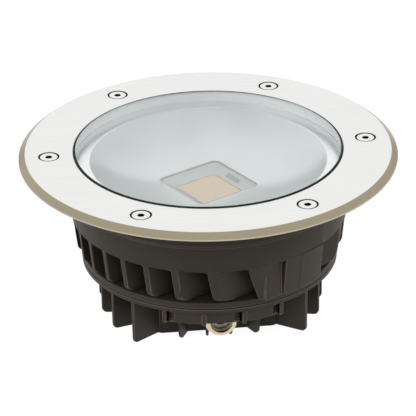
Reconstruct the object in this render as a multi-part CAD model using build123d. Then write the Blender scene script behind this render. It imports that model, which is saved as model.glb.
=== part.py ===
from build123d import *
import os
from math import atan2, cos, degrees, radians, sin, sqrt, tan

# A round recessed in-ground light: a steel trim ring over a stepped glass, a cast upper
# housing whose parallel plates cool the LED, and a finned cast base that holds the driver.
# Origin: centre of the base's underside. +Z is up and is where the light shines.
# The cable gland leaves along -Y. Azimuths are counted from -Y towards +X.

# Driving dimensions, in millimetres and degrees

# Trim ring and its screws
TRIM_OD = 270.0
TRIM_T = 4.8
TRIM_LAND = 1.4
TRIM_BEVEL_W = 4.5
TRIM_RECESS = 0.9
TRIM_RECESS_GAP = 0.2
TRIM_HOLE_R = 96.4
TRIM_SCREW_COUNT = 6
TRIM_SCREW_PCD = 227.0
TRIM_SCREW_R = 3.0
TRIM_HEAD_R = 6.3
TRIM_HEAD_T = 2.2
TRIM_HEAD_SUNK = 0.2
TRIM_HEAD_GAP = 1.2
TRIM_SOCKET_AF = 4.6
TRIM_SOCKET_DEPTH = 1.5
TRIM_THREAD_L = 7.2

# Glass, its gasket and its seat
GLASS_GAP = 0.15
GLASS_PROUD = 0.6
GLASS_CHAMFER = 0.9
GLASS_STEP_W = 5.8
GLASS_FLANGE_T = 1.6
GASKET_TOP_T = 1.9
GASKET_SIDE_T = 1.4
GASKET_FOOT_T = 1.0
GASKET_GAP = 0.25

# Reflector: a round rim that turns into a square opening
REFLECTOR_T = 1.4
RIM_T = 1.5
RIM_OVERLAP = 2.6
RIM_GAP = 0.3
BOWL_R = 84.8
BOWL_DEPTH = 19.6
BOWL_SIDE_ANGLE = 22.5
BOWL_MID_HALF = 55.0
BOWL_MID_SHARE = 0.33
BOWL_MID_BULGE = 6.0
BOWL_MID_SAG = 1.0
BOWL_MID_SIDE = 16.4
OPENING_SIDE = 52.0
OPENING_CORNER_R = 4.5

# LED stack
PEDESTAL_SIDE = 64.0
PEDESTAL_H = 4.5
PAD_SIDE = 42.0
PAD_T = 0.4
BOARD_SIDE = 40.0
BOARD_T = 1.6
EMITTER_SIDE = 33.0
EMITTER_T = 0.8
EMITTER_GAP = 0.8
HOLDER_SIDE = 62.0
HOLDER_H = 4.9
HOLDER_MOUTH_R = 1.0
HOLDER_SCREW_PLACE = 27.4
HOLDER_SCREW_R = 1.5
HOLDER_HEAD_R = 2.75
HOLDER_HEAD_T = 1.8
HOLDER_THREAD_L = 4.5
HOLDER_HEAD_SUNK = 0.5
HOLDER_SLOT_L = 16.0
HOLDER_SLOT_W = 4.2
HOLDER_SLOT_DEPTH = 0.6

# Upper housing
FLANGE_R = 119.5
FLANGE_EDGE_H = 7.1
FLANGE_CONE_H = 11.0
NECK_R = 98.0
COLLAR_R = 99.0
COLLAR_H = 19.3
CAVITY_R = 93.0
PLATE_T = 7.5
SINK_FIN_H = 26.4
SINK_FIN_COUNT = 10
SINK_FIN_PITCH = 17.8
SINK_FIN_T = 4.0
SINK_FIN_DRAFT = 0.4
SINK_FIN_GAP = 1.0
SINK_FIN_CORNER_R = 6.0
SINK_INSET = 0.5
SINK_TAPER = 6.2
SINK_TURN = 210.0
SINK_CORE_R = 47.0
END_PLATE_N = 92.0
END_FLAT_N = 95.0
END_FLAT_TO = 22.0
WALL_N = 81.0
WALL_FROM = 6.2
WALL_TO = -29.5
BOSS_FROM = -9.0
GROOVE_PLACES = (9.0, 6.6)
GROOVE_W = 0.8
GROOVE_DEPTH = 1.6
LINK_TO = 18.0
FOOT_FLANGE_T = 4.9
EDGE_CHAMFER = 0.6

# Wire passage from the LED chamber to the base
PASSAGE_R = 4.5
GROMMET_FLANGE_W = 1.8
GROMMET_FLANGE_T = 1.5
GROMMET_L = 6.0
GROMMET_GAP = 0.05
GROMMET_SPACE = 1.7
LEAD_R = 0.9
LEAD_SPREAD = 1.8
LEAD_RISE = 2.3
LEAD_BEND_R = 4.0
LEAD_GAP = 0.05

# Base housing
BASE_H = 43.6
BASE_FLANGE_R = 92.5
BASE_FLANGE_T = 3.3
BOX_HALF = 44.0
BOX_WALL = 4.0
BOX_FLOOR = 4.0
BOX_CORNER_R = 5.0
BASE_FIN_COUNT = 20
BASE_FIN_T = 1.8
BASE_FIN_DRAFT = 0.6
BASE_FIN_CORNER_R = 4.5
FRONT_CORNER_R = 6.0
BASE_FIN_INSET = 2.0
BASE_SIDE_INSET = 11.0
BASE_END_REACH = 3.0
FOOT_FLAT_REACH = 10.5
FOOT_RISE = 0.12
FRONT_SPAN = 30.0
FRONT_FIN_REACH = 12.0
RIB_INSET = 0.9
RIB_DROP = 1.8
RIB_CORNER_R = 2.0
APRON_INSET = 1.5
APRON_T = 3.0
APRON_H = 8.8
APRON_SIDE = 27.0
APRON_PANEL_SIDE = 9.0
APRON_RECESS = 0.8
POCKET_W = 5.5
POCKET_H = 6.5
POCKET_DROP = 1.0
POCKET_DEPTH = 2.4

# Joint between the two housings
BODY_GASKET_T = 0.8
BODY_GASKET_INSET = 1.0
BODY_GASKET_REACH = 15.0
BODY_SCREW_INSET = 12.5
BODY_SCREW_AZIMUTHS = (36, 90, 144, 216, 270, 324)
BODY_SCREW_R = 2.0
BODY_HEAD_R = 3.5
BODY_HEAD_T = 4.0
BODY_SOCKET_AF = 3.0
BODY_SOCKET_DEPTH = 2.0
BODY_THREAD_L = 3.4

# Driver and wiring in the base
DRIVER_GAP = 1.5
DRIVER_H = 28.0
DRIVER_WALL = 1.6
DRIVER_LID_T = 1.6
DRIVER_EAR_W = 8.5
DRIVER_EAR_HALF_Y = 6.0
DRIVER_EAR_T = 2.5
DRIVER_POST = 4.0
DRIVER_POST_H = 3.4
DRIVER_BOARD_T = 1.6
DRIVER_BOARD_GAP = 0.4
COIL_SIZE = (24.0, 22.0, 15.0)
COIL_SPACE = 4.4
COIL_ASIDE = -1.25
CAPACITOR_R = 5.0
CAPACITOR_H = 16.0
CAPACITOR_SPACE = 9.4
CAPACITOR_PITCH = 14.0
CAPACITOR_ASIDE = -6.25
SMALL_SCREW_R = 1.5
SMALL_HEAD_R = 2.75
SMALL_HEAD_T = 2.0
SMALL_THREAD_L = 2.8
PAN_SLOT_SHARE = 0.25
PAN_SLOT_DEPTH_SHARE = 0.5
TERMINAL_HALF_X = 19.0
TERMINAL_DEPTH = 11.0
TERMINAL_H = 15.0
TERMINAL_SPACE = 5.0
TERMINAL_GLAND_GAP = 3.5
TERMINAL_POLES = (-12.0, 0.0, 12.0)
TERMINAL_WIRE_R = 2.0
TERMINAL_WIRE_Z = 4.6
CLAMP_SCREW_R = 1.6
CLAMP_SCREW_L = 4.0
CLAMP_SCREW_SUNK = 1.0
CLAMP_SLOT_W = 0.5
CLAMP_SLOT_DEPTH = 0.8
TERMINAL_FIX_X = 6.0
TERMINAL_STEP = 5.0
EARTH_INSET_X = 9.0
EARTH_INSET_Y = 10.0
EARTH_SCREW_R = 2.0
EARTH_HEAD_R = 4.0
EARTH_HEAD_T = 2.6
EARTH_WASHER_R = 5.0
EARTH_WASHER_T = 1.0

# Cable gland, measured outwards along its axis
GLAND_Z = 20.7
GLAND_AF = 23.4
GLAND_CORNER_R = 13.0
GLAND_THREAD_R = 7.9
GLAND_HOLE_GAP = 0.15
GLAND_WASHER_T = 1.5
GLAND_HEX_L = 5.0
GLAND_FRONT_THREAD_L = 9.5
GLAND_INNER_L = 8.5
GLAND_BORE_R = 5.0
GLAND_SEAT_R = 6.4
GLAND_SEAT_DEPTH = 6.0
LOCKNUT_T = 3.5
THREAD_GAP = 0.05
HEAD_GAP = 0.1
BODY_HOLE_GAP = 0.2
DRILL_END = 0.25
SEAL_BORE_R = 4.0
SEAL_L = 8.0
SEAL_GAP = 0.1
CLAW_L = 2.7
CLAW_BORE_R = 4.6
CLAW_R = 8.6
CLAW_GAP = 0.3
NUT_BACK_GAP = 1.0
NUT_L = 19.5
NUT_HEX_L = 11.0
NUT_END_R = 11.2
NUT_DOME_R = 3.4
NUT_MOUTH_R = 7.5
NUT_TRAVEL = 6.0
GLAND_CLEAR = 0.4

# Small overlap that joins the parts of one casting
EMBED = 0.5

# Heights, worked out upwards from the underside of the base
Z_BASE_TOP = BASE_H
Z_FOOT = Z_BASE_TOP + BODY_GASKET_T
Z_FOOT_TOP = Z_FOOT + FOOT_FLANGE_T
Z_FIN = Z_FOOT_TOP + SINK_FIN_GAP
Z_COLLAR = Z_FIN + SINK_FIN_H
Z_COLLAR_TOP = Z_COLLAR + COLLAR_H
Z_FLOOR = Z_COLLAR + PLATE_T
Z_PEDESTAL = Z_FLOOR + PEDESTAL_H
Z_BOARD = Z_PEDESTAL + PAD_T
Z_BOARD_TOP = Z_BOARD + BOARD_T
Z_HOLDER_TOP = Z_BOARD_TOP + HOLDER_H
Z_OPENING = Z_HOLDER_TOP + REFLECTOR_T
Z_RIM = Z_OPENING + BOWL_DEPTH
Z_SEAT = Z_RIM - RIM_T
Z_GLASS = Z_RIM + GASKET_FOOT_T
Z_GLASS_STEP = Z_GLASS + GLASS_FLANGE_T
Z_HOUSING_TOP = Z_GLASS_STEP + GASKET_TOP_T
Z_TRIM = Z_HOUSING_TOP - TRIM_RECESS
Z_TOP = Z_TRIM + TRIM_T
Z_TRIM_SEAT = Z_TOP - TRIM_HEAD_SUNK - TRIM_HEAD_T

# Radii that neighbours share
TRIM_R = TRIM_OD / 2
TRIM_PLACE = TRIM_SCREW_PCD / 2
GLASS_R = TRIM_HOLE_R - GLASS_GAP
GLASS_FLANGE_R = GLASS_R + GLASS_STEP_W
GASKET_R = GLASS_FLANGE_R + GASKET_SIDE_T
RECESS_R = GASKET_R + GASKET_GAP
RIM_R = TRIM_HOLE_R + RIM_OVERLAP
POCKET_HALF = BOX_HALF - BOX_WALL
PASSAGE_N = -(PEDESTAL_SIDE / 2 + GROMMET_SPACE + GROMMET_FLANGE_W + PASSAGE_R)
BASE_FIN_R = BASE_FLANGE_R - BASE_FIN_INSET
BASE_HALF_X = BASE_FLANGE_R - BASE_SIDE_INSET
BASE_HALF_Y = BASE_FLANGE_R + BASE_END_REACH
RIB_R = BASE_FLANGE_R - RIB_INSET
APRON_R = BASE_FLANGE_R - APRON_INSET
BODY_SCREW_PLACE = BASE_FLANGE_R - BODY_SCREW_INSET
BODY_GASKET_R = BOX_HALF + BODY_GASKET_REACH
FOOT_FLAT_R = BOX_HALF + FOOT_FLAT_REACH
FRONT_FIN_Y = BOX_HALF + FRONT_FIN_REACH

# Places on the floor of the box, from the gland's inner end to the back wall
TERMINAL_Y0 = GLAND_INNER_L + TERMINAL_GLAND_GAP - POCKET_HALF
TERMINAL_Y = TERMINAL_Y0 + TERMINAL_DEPTH / 2
DRIVER_Y0 = TERMINAL_Y0 + TERMINAL_DEPTH + TERMINAL_SPACE
DRIVER_Y1 = POCKET_HALF - DRIVER_GAP
DRIVER_Y = (DRIVER_Y0 + DRIVER_Y1) / 2
DRIVER_HALF_X = POCKET_HALF - DRIVER_GAP - DRIVER_EAR_W
EARTH_PLACE = (POCKET_HALF - EARTH_INSET_X, EARTH_INSET_Y - POCKET_HALF)

# Places along the gland's axis
GLAND_U0 = BOX_HALF + GLAND_WASHER_T
GLAND_U1 = GLAND_U0 + GLAND_HEX_L
GLAND_U2 = GLAND_U1 + GLAND_FRONT_THREAD_L
SEAL_U = GLAND_U2 - GLAND_SEAT_DEPTH
CLAW_U = SEAL_U + SEAL_L + CLAW_GAP
NUT_U = GLAND_U1 + NUT_BACK_GAP
NUT_END_U = NUT_U + NUT_L


def disc(radius, z0, z1, x=0.0, y=0.0):
    """An upright cylinder between two heights."""
    return Pos(x, y, (z0 + z1) / 2) * Cylinder(radius, z1 - z0)


def ring(outer_r, inner_r, z0, z1):
    """A flat ring or a tube about Z."""
    return disc(outer_r, z0, z1) - disc(inner_r, z0 - EMBED, z1 + EMBED)


def block(x0, x1, y0, y1, z0, z1):
    """A box between two corners."""
    centre = Pos((x0 + x1) / 2, (y0 + y1) / 2, (z0 + z1) / 2)
    return centre * Box(abs(x1 - x0), abs(y1 - y0), abs(z1 - z0))


def turned(points):
    """A solid of revolution about Z from its (radius, height) outline."""
    outline = Polyline(*[(r, 0, z) for r, z in points], close=True)
    return revolve(make_face(outline), axis=Axis.Z)


def hexagon(across_flats, z0, z1):
    """An upright hexagonal bar."""
    return Pos(0, 0, z0) * extrude(RegularPolygon(across_flats / 2, 6, major_radius=False), z1 - z0)


def at_azimuth(azimuth, shape):
    """Turns a shape modelled along +X to an azimuth counted from -Y."""
    return Rot(0, 0, azimuth - 90) * shape


def around(count, radius):
    """Centres of equally spaced places on a circle, the first one on +X."""
    turns = [radians(360 * i / count) for i in range(count)]
    return [(radius * cos(turn), radius * sin(turn)) for turn in turns]


def in_sink(shape):
    """Turns a shape from the cooling plates' own axes (along, across) into the light's frame."""
    return Rot(0, 0, SINK_TURN) * shape


def save(name, *solids):
    """Writes one node: a single solid, or a group of like solids."""
    shape = solids[0] if len(solids) == 1 else Compound(list(solids))
    export_step(shape, f"parts/{name}.step")


def trim_ring():
    """Turned plate: bevel over an upright edge, recess over the housing, a counterbored hole per screw."""
    recess_r = FLANGE_R + TRIM_RECESS_GAP
    plate = turned([
        (TRIM_HOLE_R, Z_HOUSING_TOP), (recess_r, Z_HOUSING_TOP), (recess_r, Z_TRIM), (TRIM_R, Z_TRIM),
        (TRIM_R, Z_TRIM + TRIM_LAND), (TRIM_R - TRIM_BEVEL_W, Z_TOP), (TRIM_HOLE_R, Z_TOP)])
    for x, y in around(TRIM_SCREW_COUNT, TRIM_PLACE):
        plate -= disc(TRIM_HEAD_R + TRIM_HEAD_GAP, Z_TRIM_SEAT, Z_TOP + EMBED, x, y)
        plate -= disc(TRIM_SCREW_R + THREAD_GAP, Z_HOUSING_TOP - EMBED, Z_TRIM_SEAT + EMBED, x, y)
    return plate


def socket_screw(head_r, head_t, shank_r, shank_l, socket_af, socket_depth):
    """Cap screw standing on z = 0, the seat of its head, with its shank below."""
    screw = disc(head_r, 0, head_t) + disc(shank_r, -shank_l, EMBED)
    return screw - hexagon(socket_af, head_t - socket_depth, head_t + EMBED)


def pan_screw(head_r, head_t, shank_r, shank_l):
    """Slotted screw standing on z = 0, the seat of its head, with its shank below."""
    screw = disc(head_r, 0, head_t) + disc(shank_r, -shank_l, EMBED)
    half = head_r * PAN_SLOT_SHARE / 2
    return screw - block(-head_r, head_r, -half, half, head_t * (1 - PAN_SLOT_DEPTH_SHARE), head_t + EMBED)


def lens_glass():
    """Stepped tempered glass: the upper step fills the ring's hole, the flange sits under the ring."""
    top = Z_TOP + GLASS_PROUD
    return turned([
        (0, Z_GLASS), (GLASS_FLANGE_R, Z_GLASS), (GLASS_FLANGE_R, Z_GLASS_STEP), (GLASS_R, Z_GLASS_STEP),
        (GLASS_R, top - GLASS_CHAMFER), (GLASS_R - GLASS_CHAMFER, top), (0, top)])


def lens_gasket():
    """Silicone channel round the glass flange; its foot also holds the reflector down."""
    return turned([
        (TRIM_HOLE_R, Z_RIM), (GASKET_R, Z_RIM), (GASKET_R, Z_HOUSING_TOP), (TRIM_HOLE_R, Z_HOUSING_TOP),
        (TRIM_HOLE_R, Z_GLASS_STEP), (GLASS_FLANGE_R, Z_GLASS_STEP), (GLASS_FLANGE_R, Z_GLASS),
        (TRIM_HOLE_R, Z_GLASS)])


def bowl_section(z, half, side_reach, corner_reach):
    """Closed outline of four sides and four corners, symmetric about both axes.

    half is where a side ends, side_reach how far out its ends and its middle lie, and
    corner_reach how far the corner's middle lies from the axis.
    """
    reach, middle = side_reach
    side = Line((reach, -half, z), (reach, half, z))
    if middle > reach:
        side = ThreePointArc((reach, -half, z), (middle, 0, z), (reach, half, z))
    diagonal = corner_reach / sqrt(2)
    corner = ThreePointArc((reach, half, z), (diagonal, diagonal, z), (half, reach, z))
    turns = [Rot(0, 0, 90 * quarter) for quarter in range(4)]
    return make_face(Wire([turn * edge for turn in turns for edge in (side, corner)]))


def rounded_square(z, side, corner_r):
    """The square opening's outline with rounded corners."""
    half = side / 2
    corner = (half - corner_r) * sqrt(2) + corner_r
    return bowl_section(z, half - corner_r, (half, half), corner)


def bowl(drop):
    """Inside of the reflector as a solid, lowered by drop: round rim, soft square middle, square opening."""
    share = radians(BOWL_SIDE_ANGLE)
    rim = bowl_section(Z_RIM - drop, BOWL_R * sin(share), (BOWL_R * cos(share), BOWL_R), BOWL_R)
    mid_z = Z_OPENING + BOWL_DEPTH * BOWL_MID_SHARE - drop
    mid_reach = (BOWL_MID_HALF - BOWL_MID_SAG, BOWL_MID_HALF)
    middle = bowl_section(mid_z, BOWL_MID_SIDE, mid_reach, BOWL_MID_HALF + BOWL_MID_BULGE)
    opening = rounded_square(Z_OPENING - drop, OPENING_SIDE, OPENING_CORNER_R)
    return loft([opening, middle, rim])


def reflector():
    """Pressed satin bowl with a flat rim, clamped between the gasket and the housing."""
    inside = bowl(0)
    shell = bowl(REFLECTOR_T) + disc(RIM_R, Z_SEAT, Z_RIM)
    hole = rounded_square(Z_OPENING - REFLECTOR_T - EMBED, OPENING_SIDE, OPENING_CORNER_R)
    return in_sink(shell - inside - extrude(hole, REFLECTOR_T + 2 * EMBED))


def square(side, z0, z1):
    """A square block about the axis, in the cooling plates' axes."""
    return block(-side / 2, side / 2, -side / 2, side / 2, z0, z1)


def holder_screw_places():
    return [(HOLDER_SCREW_PLACE, HOLDER_SCREW_PLACE), (-HOLDER_SCREW_PLACE, -HOLDER_SCREW_PLACE)]


def led_holder():
    """Frame that clamps the LED board; its slotted funnel leads from the emitter to the reflector."""
    mouth = EMITTER_SIDE + 2 * EMITTER_GAP
    low = rounded_square(Z_BOARD_TOP - EMBED, mouth, HOLDER_MOUTH_R)
    base = rounded_square(Z_BOARD_TOP + EMITTER_T, mouth, HOLDER_MOUTH_R)
    high = rounded_square(Z_HOLDER_TOP, OPENING_SIDE, OPENING_CORNER_R)
    frame = square(HOLDER_SIDE, Z_PEDESTAL, Z_HOLDER_TOP)
    frame -= square(PAD_SIDE + 2 * EMITTER_GAP, Z_PEDESTAL - EMBED, Z_BOARD_TOP)
    frame -= extrude(low, EMITTER_T + EMBED)
    frame -= loft([base, high], ruled=True)
    slot_x = (mouth + OPENING_SIDE) / 4
    slot_z = (Z_BOARD_TOP + EMITTER_T + Z_HOLDER_TOP) / 2
    slope = degrees(atan2(HOLDER_H - EMITTER_T, (OPENING_SIDE - mouth) / 2))
    slot = Box(HOLDER_SLOT_W, HOLDER_SLOT_L, 2 * HOLDER_SLOT_DEPTH)
    frame -= Pos(-slot_x, 0, slot_z) * Rot(0, slope, 0) * slot
    seat = Z_HOLDER_TOP - HOLDER_HEAD_T - HOLDER_HEAD_SUNK
    for x, y in holder_screw_places():
        frame -= disc(HOLDER_HEAD_R + HEAD_GAP, seat, Z_HOLDER_TOP + EMBED, x, y)
        frame -= disc(HOLDER_SCREW_R + THREAD_GAP, Z_PEDESTAL - EMBED, seat + EMBED, x, y)
    return in_sink(frame)


def holder_screws():
    """Two small cap screws that pull the holder onto the pedestal."""
    seat = Z_HOLDER_TOP - HOLDER_HEAD_T - HOLDER_HEAD_SUNK
    length = seat - Z_PEDESTAL + HOLDER_THREAD_L
    screw = pan_screw(HOLDER_HEAD_R, HOLDER_HEAD_T, HOLDER_SCREW_R, length)
    return [in_sink(Pos(x, y, seat) * screw) for x, y in holder_screw_places()]


def sink_envelope(z_low, corner_r, inset=SINK_INSET):
    """The tapered outline that trims the cooling plates, with a rounded lower corner."""
    top_r = COLLAR_R - inset
    low_r = top_r - (Z_COLLAR - z_low) * tan(radians(SINK_TAPER))
    reach = EMBED * tan(radians(SINK_TAPER))
    cone = turned([(0, z_low), (low_r, z_low), (top_r + reach, Z_COLLAR + EMBED), (0, Z_COLLAR + EMBED)])
    if corner_r > 0:
        cone = fillet(cone.edges().filter_by(GeomType.CIRCLE).sort_by(Axis.Z)[0], corner_r)
    return cone


def sink_fin(across):
    """One cooling plate, thinner at its foot, longer than the housing is wide."""
    high = SINK_FIN_T / 2
    low = high - SINK_FIN_DRAFT
    section = Polyline(
        (0, across - low, Z_FIN), (0, across + low, Z_FIN),
        (0, across + high, Z_COLLAR + EMBED), (0, across - high, Z_COLLAR + EMBED), close=True)
    return extrude(make_face(section), amount=COLLAR_R, both=True)


def sink_end():
    """The closed end of the row of plates: a flat plate, a solid wall and two fine grooves."""
    low = Z_FOOT_TOP - EMBED
    high = Z_COLLAR + EMBED
    envelope = sink_envelope(low, 0)
    plate = envelope & block(WALL_FROM - EMBED, COLLAR_R, END_PLATE_N, END_FLAT_N, low, high)
    wall = envelope & block(WALL_TO, WALL_FROM, WALL_N, COLLAR_R, low, high)
    face = block(WALL_FROM - EMBED, END_FLAT_TO, END_PLATE_N, END_FLAT_N, low, high)
    link = block(WALL_FROM - EMBED, LINK_TO, WALL_N, END_FLAT_N, low, high)
    boss = sink_envelope(low, 0, 0) & block(WALL_TO, BOSS_FROM, WALL_N, COLLAR_R, low, high)
    end = plate + wall + face + link + boss
    for place in GROOVE_PLACES:
        half = GROOVE_W / 2
        end -= block(place - half, place + half, END_FLAT_N - GROOVE_DEPTH, COLLAR_R, low - EMBED, Z_COLLAR)
    return end


def body_screw_places():
    turns = [radians(azimuth) for azimuth in BODY_SCREW_AZIMUTHS]
    return [(BODY_SCREW_PLACE * sin(turn), -BODY_SCREW_PLACE * cos(turn)) for turn in turns]


def upper_housing():
    """Die casting: glass seat, LED chamber, parallel cooling plates and the flange that closes the base."""
    neck_top = Z_HOUSING_TOP - FLANGE_EDGE_H - FLANGE_CONE_H
    shell = turned([
        (0, Z_COLLAR), (COLLAR_R - EDGE_CHAMFER, Z_COLLAR), (COLLAR_R, Z_COLLAR + EDGE_CHAMFER),
        (COLLAR_R, Z_COLLAR_TOP - EDGE_CHAMFER), (NECK_R, Z_COLLAR_TOP), (NECK_R, neck_top),
        (FLANGE_R, neck_top + FLANGE_CONE_H), (FLANGE_R, Z_TRIM), (FLANGE_R - TRIM_RECESS, Z_HOUSING_TOP),
        (RECESS_R, Z_HOUSING_TOP), (RECESS_R, Z_RIM), (RIM_R + RIM_GAP, Z_RIM), (RIM_R + RIM_GAP, Z_SEAT),
        (CAVITY_R, Z_SEAT), (CAVITY_R, Z_FLOOR), (0, Z_FLOOR)])
    pedestal = square(PEDESTAL_SIDE, Z_FLOOR - EMBED, Z_PEDESTAL)
    first = -(SINK_FIN_COUNT - 1) / 2 * SINK_FIN_PITCH
    fins = [sink_fin(first + i * SINK_FIN_PITCH) for i in range(SINK_FIN_COUNT)]
    plates = (Part() + fins) & sink_envelope(Z_FIN, SINK_FIN_CORNER_R)
    core = disc(SINK_CORE_R, Z_FOOT_TOP - EMBED, Z_COLLAR + EMBED)
    end = sink_end()
    foot = turned([
        (0, Z_FOOT), (BASE_FLANGE_R, Z_FOOT), (BASE_FLANGE_R, Z_FOOT_TOP - EDGE_CHAMFER),
        (BASE_FLANGE_R - EDGE_CHAMFER, Z_FOOT_TOP), (0, Z_FOOT_TOP)])
    housing = shell + foot + in_sink(pedestal + plates + core + end + Rot(0, 0, 180) * end)
    for x, y in around(TRIM_SCREW_COUNT, TRIM_PLACE):
        low = Z_HOUSING_TOP - TRIM_THREAD_L - DRILL_END
        housing -= disc(TRIM_SCREW_R + THREAD_GAP, low, Z_HOUSING_TOP + EMBED, x, y)
    for x, y in body_screw_places():
        housing -= disc(BODY_SCREW_R + THREAD_GAP, Z_FOOT - EMBED, Z_FOOT + BODY_THREAD_L + DRILL_END, x, y)
    for x, y in holder_screw_places():
        low = Z_PEDESTAL - HOLDER_THREAD_L - DRILL_END
        housing -= in_sink(disc(HOLDER_SCREW_R + THREAD_GAP, low, Z_PEDESTAL + EMBED, x, y))
    housing -= in_sink(disc(PASSAGE_R, Z_FOOT - EMBED, Z_FLOOR + EMBED, 0, PASSAGE_N))
    return housing


def lead_grommet():
    """Rubber grommet at the top of the wire passage, with one hole for each lead."""
    grommet = disc(PASSAGE_R + GROMMET_FLANGE_W, Z_FLOOR, Z_FLOOR + GROMMET_FLANGE_T, 0, PASSAGE_N)
    grommet += disc(PASSAGE_R - GROMMET_GAP, Z_FLOOR - GROMMET_L, Z_FLOOR + EMBED, 0, PASSAGE_N)
    low = Z_FLOOR - GROMMET_L - EMBED
    high = Z_FLOOR + GROMMET_FLANGE_T + EMBED
    for side in (-LEAD_SPREAD, LEAD_SPREAD):
        grommet -= disc(LEAD_R + LEAD_GAP, low, high, side, PASSAGE_N)
    return in_sink(grommet)


def led_leads():
    """Two insulated leads from the holder's side, down the passage, to the driver's lid."""
    height = Z_BOARD_TOP + LEAD_RISE
    leads = []
    for side in (-LEAD_SPREAD, LEAD_SPREAD):
        start = (side, -HOLDER_SIDE / 2, height)
        end = (side, PASSAGE_N, BOX_FLOOR + DRIVER_H)
        path = FilletPolyline(start, (side, PASSAGE_N, height), end, radius=LEAD_BEND_R)
        section = Plane(start, z_dir=(0, -1, 0)) * Circle(LEAD_R)
        leads.append(in_sink(sweep(section, path=path)))
    return leads


def body_gasket():
    """Flat seal between the two housings, set back a little from their rims."""
    seal = ring(BASE_FLANGE_R - BODY_GASKET_INSET, BODY_GASKET_R, Z_BASE_TOP, Z_FOOT)
    for x, y in body_screw_places():
        seal -= disc(BODY_SCREW_R + BODY_HOLE_GAP, Z_BASE_TOP - EMBED, Z_FOOT + EMBED, x, y)
    return seal


def body_screws():
    """Cap screws that pull the base up against the upper housing, heads below."""
    length = BASE_FLANGE_T + BODY_GASKET_T + BODY_THREAD_L
    screw = Rot(180, 0, 0) * socket_screw(
        BODY_HEAD_R, BODY_HEAD_T, BODY_SCREW_R, length, BODY_SOCKET_AF, BODY_SOCKET_DEPTH)
    return [Pos(x, y, Z_BASE_TOP - BASE_FLANGE_T) * screw for x, y in body_screw_places()]


def base_fin(azimuth):
    """One radial fin whose foot rises outwards; those beside the gland stop short of it and go on as ribs."""
    inner = BOX_HALF - BOX_WALL / 2
    top = BASE_H - BASE_FLANGE_T + EMBED
    turn = radians(azimuth)
    if cos(turn) > cos(radians(FRONT_SPAN)):
        outer = FRONT_FIN_Y / cos(turn)
        corners = [(outer, FRONT_CORNER_R), (RIB_R, RIB_CORNER_R)]
        low = BASE_H - BASE_FLANGE_T - APRON_H - RIB_DROP
        points = [(RIB_R, top), (RIB_R, low), (outer, low), (outer, 0)]
    else:
        oval = 1 / sqrt((sin(turn) / BASE_HALF_X) ** 2 + (cos(turn) / BASE_HALF_Y) ** 2)
        outer = min(BASE_FIN_R, oval)
        corners = [(outer, BASE_FIN_CORNER_R)]
        points = [(outer, top), (outer, FOOT_RISE * (outer - FOOT_FLAT_R)), (FOOT_FLAT_R, 0)]
    outline = Polyline(*[(r, 0, z) for r, z in [(inner, 0), (inner, top)] + points], close=True)
    fin = extrude(make_face(outline), amount=BASE_FIN_T, both=True)
    for reach, corner_r in corners:
        ends = [edge for edge in fin.edges().filter_by(Axis.Y) if abs(edge.center().X - reach) < EMBED]
        fin = fillet(min(ends, key=lambda edge: edge.center().Z), corner_r)
    thin = BASE_FIN_T / 2
    thick = thin + BASE_FIN_DRAFT
    section = Polyline((0, -thin, 0), (0, thin, 0), (0, thick, BASE_H), (0, -thick, BASE_H), close=True)
    return at_azimuth(azimuth, fin & extrude(make_face(section), amount=BASE_FLANGE_R, both=True))


def sector(radius_out, radius_in, half_angle, z0, z1):
    """A band of a ring, centred on -Y."""
    reach = 2 * radius_out
    side = reach * tan(radians(half_angle))
    wedge = make_face(Polyline((0, 0, z0), (side, -reach, z0), (-side, -reach, z0), close=True))
    return ring(radius_out, radius_in, z0, z1) & extrude(wedge, amount=z1 - z0, dir=(0, 0, 1))


def apron():
    """Skirt under the flange above the gland, its middle panel set back."""
    high = BASE_H - BASE_FLANGE_T + EMBED
    low = BASE_H - BASE_FLANGE_T - APRON_H
    skirt = sector(APRON_R, APRON_R - APRON_T, APRON_SIDE, low, high)
    skirt -= sector(APRON_R + EMBED, APRON_R - APRON_T - EMBED, APRON_PANEL_SIDE, low - EMBED, high + EMBED)
    panel_r = APRON_R - APRON_RECESS
    skirt += sector(panel_r, panel_r - APRON_T, APRON_PANEL_SIDE, low, high)
    return skirt


def apron_pockets():
    """Cutters of the pockets: inside the outer ribs, and left of the right inner rib."""
    high = BASE_H - BASE_FLANGE_T - POCKET_DROP
    low = high - POCKET_H
    panel_r = APRON_R - APRON_RECESS
    cutters = []
    places = ((-APRON_SIDE, 1, APRON_R), (APRON_SIDE, -1, APRON_R), (APRON_PANEL_SIDE, -1, panel_r))
    for azimuth, side, face in places:
        near = side * (BASE_FIN_T / 2 + BASE_FIN_DRAFT)
        far = near + side * POCKET_W
        cutter = block(face - POCKET_DEPTH, face + POCKET_DEPTH, near, far, low, high)
        cutters.append(at_azimuth(azimuth, cutter))
    return cutters


def in_gland(shape):
    """Places a shape modelled along +Z on the gland's axis, which leaves the box along -Y."""
    return Pos(0, 0, GLAND_Z) * Rot(90, 0, 0) * shape


def driver_ear_screws():
    reach = DRIVER_HALF_X + DRIVER_EAR_W / 2
    return [(-reach, DRIVER_Y), (reach, DRIVER_Y)]


def terminal_fix_places():
    return [(-TERMINAL_FIX_X, TERMINAL_Y), (TERMINAL_FIX_X, TERMINAL_Y)]


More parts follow.
